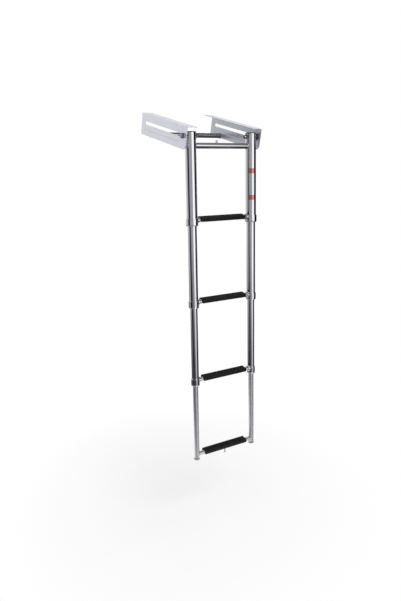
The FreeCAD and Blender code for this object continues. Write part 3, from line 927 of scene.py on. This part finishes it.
# %% Geometry Nodes for a weld bead
weld_tree, given, made = new_group(
    "weld_bead", GEOMETRY_TREE,
    [("Seam", "Geometry"), ("Bead Radius", "Float"), ("Ripple Count", "Int"), ("Ripple Depth", "Float"),
     ("Steel", "Material")],
    [("Bead", "Geometry")])
path = add_node(weld_tree, "GeometryNodeMeshToCurve", Mesh=given.outputs["Seam"])
count = add_node(weld_tree, "ShaderNodeMath", [("operation", "MULTIPLY")], _0=given.outputs["Ripple Count"], _1=6.0)
even = add_node(weld_tree, "GeometryNodeResampleCurve", Curve=path.outputs["Curve"], Count=count.outputs["Value"])
along = add_node(weld_tree, "GeometryNodeSplineParameter")
turns = add_node(weld_tree, "ShaderNodeMath", [("operation", "MULTIPLY")], _0=along.outputs["Factor"],
                 _1=given.outputs["Ripple Count"])
phase = add_node(weld_tree, "ShaderNodeMath", [("operation", "MULTIPLY")], _0=turns.outputs["Value"], _1=math.tau)
wave = add_node(weld_tree, "ShaderNodeMath", [("operation", "SINE")], _0=phase.outputs["Value"])
swell = add_node(weld_tree, "ShaderNodeMath", [("operation", "MULTIPLY_ADD")], _0=wave.outputs["Value"],
                 _1=given.outputs["Ripple Depth"], _2=1.0)
profile = add_node(weld_tree, "GeometryNodeCurvePrimitiveCircle", Resolution=10,
                   Radius=given.outputs["Bead Radius"])
bead = add_node(weld_tree, "GeometryNodeCurveToMesh", Curve=even.outputs["Curve"],
                Profile_Curve=profile.outputs["Curve"], Scale=swell.outputs["Value"])
smooth = add_node(weld_tree, "GeometryNodeSetShadeSmooth", _0=bead.outputs["Mesh"])
real = add_node(weld_tree, "GeometryNodeRealizeInstances", Geometry=smooth.outputs[0])
coated = add_node(weld_tree, "GeometryNodeSetMaterial", Geometry=real.outputs["Geometry"],
                  Material=given.outputs["Steel"])
weld_tree.links.new(coated.outputs["Geometry"], made.inputs["Bead"])
print("tree", weld_tree.name, "with", len(weld_tree.nodes), "nodes")

# %% Weld beads
BEAD_RADIUS = 0.0011
RIPPLE_LENGTH = 0.0019
RIPPLE_DEPTH = 0.16
SEAM_STEPS = 48


def seam(rod_radius, post_radius):
    """Where a rod along Z meets a post along X, a post of no radius being a flat wall."""
    points = []
    for step in range(SEAM_STEPS):
        angle = math.tau * step / SEAM_STEPS
        across, along = rod_radius * math.cos(angle), rod_radius * math.sin(angle)
        rise = math.sqrt(post_radius ** 2 - along ** 2) if post_radius else 0.0
        points.append(Vector((across, along, rise)))
    return points


def make_weld(name, body, matrix, rod_radius, post_radius=0.0, bead=BEAD_RADIUS):
    mesh = bpy.data.meshes.new(name)
    points = [matrix @ point for point in seam(rod_radius, post_radius)]
    edges = [(index, (index + 1) % len(points)) for index in range(len(points))]
    mesh.from_pydata(points, edges, [])
    ripples = round(math.tau * rod_radius / RIPPLE_LENGTH)
    bead_mesh = run_nodes(weld_tree, mesh, Bead_Radius=bead, Ripple_Count=ripples, Ripple_Depth=RIPPLE_DEPTH,
                          Steel=WELD_STEEL)
    return put(bead_mesh, name, body, "polished_steel", None)


for side, way in SIDES.items():
    toward_middle = Matrix.Rotation(-way * math.pi / 2, 4, "Y")
    for node, station, radius, number in (("top_cross_tube", CROSS_STATION, CROSS_RADIUS, 1),
                                          ("rung_4", RUNG_STATION[4], RUNG_RADIUS, 4)):
        make_weld("%s.%s_weld" % (node, side), "section_%d" % number, on_upright(way, station) @ toward_middle,
                  radius, TUBE_RADIUS[number])
    for number in SECTIONS[:3]:
        node = "rung_%d" % number
        place = LADDER @ Matrix.Translation((way * ladder_box(node)[1].x, 0, -RUNG_STATION[number]))
        make_weld("%s.%s_weld" % (node, side), "section_%d" % number, place @ toward_middle, RUNG_RADIUS)
    place = Matrix.Translation((way * box_size("rear_crossbar").x / 2, middle.y, middle.z))
    make_weld("rear_crossbar.%s_weld" % side, "tracks", place @ toward_middle, bar_radius, bead=0.0016)
top_stud_x = box_middle("top_stud").x
make_weld("top_stud.weld", "section_1", LADDER @ Matrix.Translation((top_stud_x, 0, -CROSS_STATION)),
          STUD_RADIUS, CROSS_RADIUS, 0.0007)
make_weld("bottom_stud.weld", "section_4",
          LADDER @ Matrix.Translation((0, 0, -RUNG_STATION[4])) @ Matrix.Rotation(math.pi, 4, "X"),
          STUD_RADIUS, RUNG_RADIUS, 0.0007)
print("welds done, pieces so far", len(made_pieces))

# %% [markdown]
# The sleeve label
#
# A clear glossy film with a red band at each end is stuck round the front of the right outer tube. The steel's
# own stripes show through it, so the film is given the shine of steel with a tint of its own, and red where it
# is printed. It carries no words here. It is a thin shell that hugs the tube over part of its circle, a fifth
# of a millimetre thick.

# %% Label
LABEL_STATIONS = (0.109, 0.127, 0.203, 0.220)
LABEL_MIDDLE = math.radians(-12)
LABEL_HALF_ARC = math.radians(51)
LABEL_STEPS = 24
LABEL_SHEET = 0.0002


def make_label():
    shape = bmesh.new()
    skins = []
    for radius in (TUBE_RADIUS[1] + 0.00003, TUBE_RADIUS[1] + 0.00003 + LABEL_SHEET):
        rows = []
        for station in LABEL_STATIONS:
            angles = [LABEL_MIDDLE + LABEL_HALF_ARC * (2 * k / LABEL_STEPS - 1) for k in range(LABEL_STEPS + 1)]
            rows.append([shape.verts.new((radius * math.sin(a), -radius * math.cos(a), -station)) for a in angles])
        skins.append(rows)
    inner, outer = skins
    last_row, last_step = len(LABEL_STATIONS) - 1, LABEL_STEPS
    for row in range(last_row):
        for k in range(last_step):
            for skin in skins:
                face = shape.faces.new((skin[row][k], skin[row][k + 1], skin[row + 1][k + 1], skin[row + 1][k]))
                face.material_index = 0 if row == 1 else 1
        for k in (0, last_step):
            face = shape.faces.new((inner[row][k], outer[row][k], outer[row + 1][k], inner[row + 1][k]))
            face.material_index = 0 if row == 1 else 1
    for row in (0, last_row):
        for k in range(last_step):
            face = shape.faces.new((inner[row][k], inner[row][k + 1], outer[row][k + 1], outer[row][k]))
            face.material_index = 1
    mesh = to_mesh(shape, "label", LADDER @ Matrix.Translation((UPRIGHT_X, 0, 0)))
    mesh.materials.append(LABEL_CLEAR)
    mesh.materials.append(LABEL_RED)
    return put(mesh, "right_upright_1.label", "section_1", "pale_plastic", None)


label = make_label()
print(label.name, "has", len(label.data.polygons), "faces")

# %% [markdown]
# The guide rings
#
# Inside each tube, a pair of pale plastic rings on the top of the next tube keeps the two from rattling. They are
# hidden while the ladder is whole, so the frame's own shape is kept and only given its material.

# %% Guide rings keep their shape
for number in SECTIONS[1:]:
    rings = frame["nodes"]["guide_rings_%d" % number]
    rings.data.materials.clear()
    rings.data.materials.append(PALE_PLASTIC)
print("guide rings dressed")

# %% [markdown]
# The studio
#
# Polished steel has no colour of its own: it shows what stands around it. The photograph's tubes carry a white
# stripe between two dark ones, which means white cards and dark gaps around the ladder. The world is that ring of
# cards here. What the camera itself sees behind the ladder is plain white, and matt surfaces get one even level.

# %% World with cards and gaps
WHITE = (1.0, 1.0, 1.0, 1.0)
FRONT_CARD = (1.12, 1.12, 1.12, 1.0)
DIM_CARD = (0.32, 0.32, 0.33, 1.0)
LAVENDER_CARD = (0.77, 0.77, 0.79, 1.0)
FAR_LAVENDER = (0.48, 0.48, 0.49, 1.0)
GREY_WALL = (0.36, 0.36, 0.385, 1.0)
LOW_WALL = (0.05, 0.05, 0.055, 1.0)
DARK_GAP = (0.008, 0.008, 0.009, 1.0)
DARK_CEILING = (0.18, 0.18, 0.19, 1.0)
DARK_GROUND = (0.05, 0.05, 0.052, 1.0)
EVEN_LEVEL = 0.78


def card_ring(tree, where, front, side):
    """Cards by their bearing in degrees clockwise from straight ahead, with the front ones as given."""
    cards = [(-180, front), (-177, front), (-169, side), (-109, side), (-104, DARK_GAP), (-77, DARK_GAP),
             (-72, FAR_LAVENDER), (-37, FAR_LAVENDER), (-33, LAVENDER_CARD), (54, LAVENDER_CARD),
             (60, DARK_GAP), (136, DARK_GAP), (144, front), (180, front)]
    ring = add_node(tree, "ShaderNodeValToRGB", Fac=where)
    stops = ring.color_ramp.elements
    while len(stops) < len(cards):
        stops.new(0.5)
    for stop, (degrees, colour) in zip(stops, cards):
        stop.position = (degrees + 180) / 360
        stop.color = colour
    return ring.outputs["Color"]


def by_height(tree, height, low_degrees, high_degrees, below, above):
    """Fades from one colour to another between two heights above the horizon."""
    share = add_node(tree, "ShaderNodeMapRange", Value=height, From_Min=math.sin(math.radians(low_degrees)),
                     From_Max=math.sin(math.radians(high_degrees)))
    fade = add_node(tree, "ShaderNodeMix", [("data_type", "RGBA")], _0=share.outputs["Result"], _6=below, _7=above)
    return fade.outputs[2]


world = bpy.data.worlds.new("studio")
scene.world = world
world.use_nodes = True
tree = world.node_tree
tree.nodes.clear()
direction = add_node(tree, "ShaderNodeTexCoord").outputs["Generated"]
parts = add_node(tree, "ShaderNodeSeparateXYZ", Vector=direction)
height = parts.outputs["Z"]
bearing = add_node(tree, "ShaderNodeMath", [("operation", "ARCTAN2")], _0=parts.outputs["X"], _1=parts.outputs["Y"])
share = add_node(tree, "ShaderNodeMapRange", Value=bearing.outputs["Value"], From_Min=-math.pi, From_Max=math.pi)
high_ring = card_ring(tree, share.outputs["Result"], FRONT_CARD, GREY_WALL)
low_ring = card_ring(tree, share.outputs["Result"], DIM_CARD, LOW_WALL)
cards = by_height(tree, height, -8, 4, low_ring, high_ring)
cards = by_height(tree, height, -28, -16, DARK_GROUND, cards)
cards = by_height(tree, height, 28, 38, cards, DARK_CEILING)
rays = add_node(tree, "ShaderNodeLightPath")
seen = add_node(tree, "ShaderNodeMix", [("data_type", "RGBA")], _0=rays.outputs["Is Camera Ray"],
                _6=cards, _7=WHITE)
matt = add_node(tree, "ShaderNodeMix", [("data_type", "RGBA")], _0=rays.outputs["Is Diffuse Ray"],
                _6=seen.outputs[2], _7=(EVEN_LEVEL, EVEN_LEVEL, EVEN_LEVEL, 1.0))
background = add_node(tree, "ShaderNodeBackground", Color=matt.outputs[2])
surface = add_node(tree, "ShaderNodeOutputWorld", Surface=background.outputs["Background"])
print("world nodes", len(tree.nodes))

# %% Lamp and floor
FLOOR_DROP = 0.30
FLOOR_RADIUS = 0.8
LAMP_SIZE = 1.6
LAMP_POWER = 34.0

lamp_data = bpy.data.lights.new("softbox", "AREA")
lamp_data.size = LAMP_SIZE
lamp_data.energy = LAMP_POWER
lamp = bpy.data.objects.new("softbox", lamp_data)
scene.collection.objects.link(lamp)
lamp.location = (0.4, -2.2, 1.5)
aim = Vector((0.0, -0.2, -0.6)) - lamp.location
lamp.rotation_euler = aim.to_track_quat("-Z", "Y").to_euler()

floor_z = cad_low.z - FLOOR_DROP
disc = bmesh.new()
bmesh.ops.create_circle(disc, cap_ends=True, segments=128, radius=FLOOR_RADIUS)
floor_middle = Vector((0.0, box_middle("rung_4").y, floor_z))
disc.transform(Matrix.Translation(floor_middle))
floor_mesh = bpy.data.meshes.new("floor")
disc.to_mesh(floor_mesh)
disc.free()
floor = bpy.data.objects.new("floor", floor_mesh)
scene.collection.objects.link(floor)

paper = bpy.data.materials.new("paper")
paper.use_nodes = True
tree = paper.node_tree
shader = tree.nodes["Principled BSDF"]
shader.inputs["Base Color"].default_value = (0.97, 0.97, 0.97, 1.0)
shader.inputs["Roughness"].default_value = 0.9
place = add_node(tree, "ShaderNodeTexCoord").outputs["Object"]
centred = add_node(tree, "ShaderNodeMapping", Vector=place, Location=-floor_middle)
from_middle = add_node(tree, "ShaderNodeVectorMath", [("operation", "LENGTH")], _0=centred.outputs["Vector"])
fade = add_node(tree, "ShaderNodeMapRange", Value=from_middle.outputs["Value"], From_Min=0.30 * FLOOR_RADIUS,
                From_Max=0.98 * FLOOR_RADIUS)
glow = add_node(tree, "ShaderNodeEmission", Color=WHITE)
blend = add_node(tree, "ShaderNodeMixShader", _0=fade.outputs["Result"], _1=shader.outputs["BSDF"],
                 _2=glow.outputs["Emission"])
tree.links.new(blend.outputs["Shader"], tree.nodes["Material Output"].inputs["Surface"])
floor_mesh.materials.append(paper)
print("floor at", round(floor_z, 3))

# %% [markdown]
# The last step sets the plain view transform and prints how many pieces and faces were made.

# %% View transform and piece count
scene.view_settings.view_transform = "Standard"
print("pieces made", len(made_pieces), "with", sum(len(piece.data.polygons) for piece in made_pieces), "faces")
